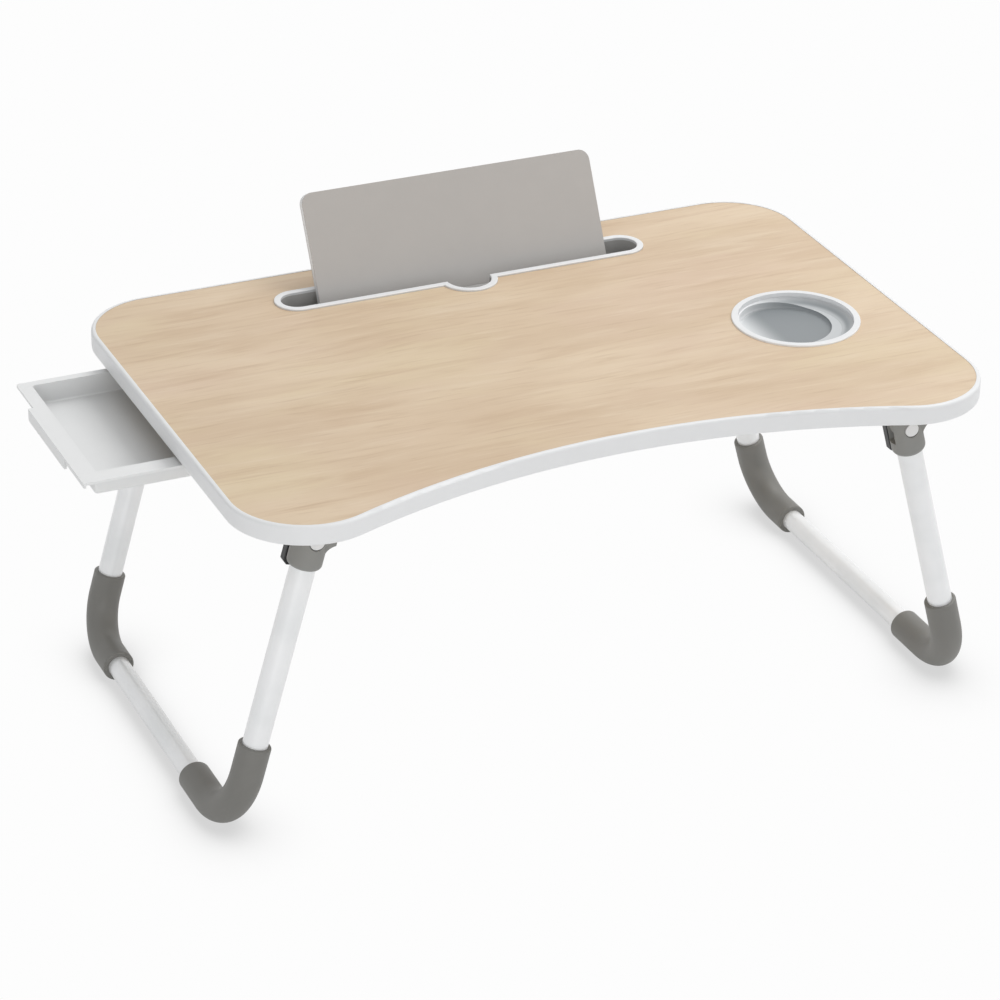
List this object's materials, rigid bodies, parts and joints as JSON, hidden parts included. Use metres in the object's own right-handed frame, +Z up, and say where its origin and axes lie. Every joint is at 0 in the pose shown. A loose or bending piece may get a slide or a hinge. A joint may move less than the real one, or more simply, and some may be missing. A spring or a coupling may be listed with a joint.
{
  "type": "folding lap desk",
  "caption": "Low folding lap desk: oak-look top in a white edge, slot with rest panel, round cup holder, pull-out side drawer and folding leg frames.",
  "frame": {"origin": "centre of the table's top surface", "axes": "+X right along the long side, +Y to the back, +Z up"},
  "size_m": [0.6879, 0.4, 0.3511],
  "materials": {
    "oak_laminate": "satin light oak print, grain along X",
    "board_core": "raw fibreboard",
    "white_plastic": "satin white moulding",
    "trough_grey": "matt dark grey moulding",
    "panel_grey": "flat mid grey",
    "hinge_grey": "matt grey moulding",
    "elbow_grey": "matt grey, slightly soft",
    "black_plastic": "matt black",
    "tube_metal": "silver-white powder coat",
    "screw_steel": "zinc-plated"
  },
  "bodies": {
    "table": {"table_board": "board_core", "wood_laminate": "oak_laminate", "edge_trim": "white_plastic", "slot_bezel": "white_plastic", "slot_trough": "trough_grey", "slot_floor": "trough_grey", "slot_foot_rib": "trough_grey", "cup_insert": "white_plastic", "drawer_rail_front": "white_plastic", "drawer_rail_back": "white_plastic", "rail_screws": "screw_steel", "hinge_screws": "screw_steel", "hinge_bracket_front_left": "hinge_grey", "hinge_bracket_back_left": "hinge_grey", "hinge_bracket_front_right": "hinge_grey", "hinge_bracket_back_right": "hinge_grey"},
    "drawer": {"drawer_tray": "white_plastic"},
    "rest_panel": {"panel_front_skin": "panel_grey", "panel_core": "white_plastic", "panel_back_skin": "panel_grey"},
    "left_leg": {"bottom_bar_left": "tube_metal", "leg_knuckle_front_left": "hinge_grey", "leg_tube_front_left": "tube_metal", "leg_elbow_front_left": "elbow_grey", "pivot_pin_front_left": "screw_steel", "pin_cap_front_left": "white_plastic", "leg_knuckle_back_left": "hinge_grey", "leg_tube_back_left": "tube_metal", "leg_elbow_back_left": "elbow_grey", "pivot_pin_back_left": "screw_steel", "pin_cap_back_left": "white_plastic"},
    "lever_front_left": {"lock_lever_front_left": "black_plastic"},
    "lever_back_left": {"lock_lever_back_left": "black_plastic"},
    "right_leg": {"bottom_bar_right": "tube_metal", "leg_knuckle_front_right": "hinge_grey", "leg_tube_front_right": "tube_metal", "leg_elbow_front_right": "elbow_grey", "pivot_pin_front_right": "screw_steel", "pin_cap_front_right": "white_plastic", "leg_knuckle_back_right": "hinge_grey", "leg_tube_back_right": "tube_metal", "leg_elbow_back_right": "elbow_grey", "pivot_pin_back_right": "screw_steel", "pin_cap_back_right": "white_plastic"},
    "lever_front_right": {"lock_lever_front_right": "black_plastic"},
    "lever_back_right": {"lock_lever_back_right": "black_plastic"}
  },
  "joints": [
    {"name": "drawer_slide", "type": "slide", "parent": "table", "child": "drawer", "axis": [-1, 0, 0], "range_m": [-0.073, 0.0965]},
    {"name": "panel_lift", "type": "slide", "parent": "table", "child": "rest_panel", "axis": [0, 0.4695, 0.8829], "range_m": [0, 0.06]},
    {"name": "left_leg_fold", "type": "hinge", "parent": "table", "child": "left_leg", "pos_m": [-0.2383, 0, -0.0365], "axis": [0, -1, 0], "range_deg": [0, 101]},
    {"name": "lock_press_front_left", "type": "slide", "parent": "left_leg", "child": "lever_front_left", "axis": [0, -1, 0], "range_m": [0, 0.0018], "stiffness_N_per_m": 900},
    {"name": "lock_press_back_left", "type": "slide", "parent": "left_leg", "child": "lever_back_left", "axis": [0, 1, 0], "range_m": [0, 0.0018], "stiffness_N_per_m": 900},
    {"name": "right_leg_fold", "type": "hinge", "parent": "table", "child": "right_leg", "pos_m": [0.2383, 0, -0.0365], "axis": [0, 1, 0], "range_deg": [0, 94]},
    {"name": "lock_press_front_right", "type": "slide", "parent": "right_leg", "child": "lever_front_right", "axis": [0, -1, 0], "range_m": [0, 0.0018], "stiffness_N_per_m": 900},
    {"name": "lock_press_back_right", "type": "slide", "parent": "right_leg", "child": "lever_back_right", "axis": [0, 1, 0], "range_m": [0, 0.0018], "stiffness_N_per_m": 900}
  ]
}
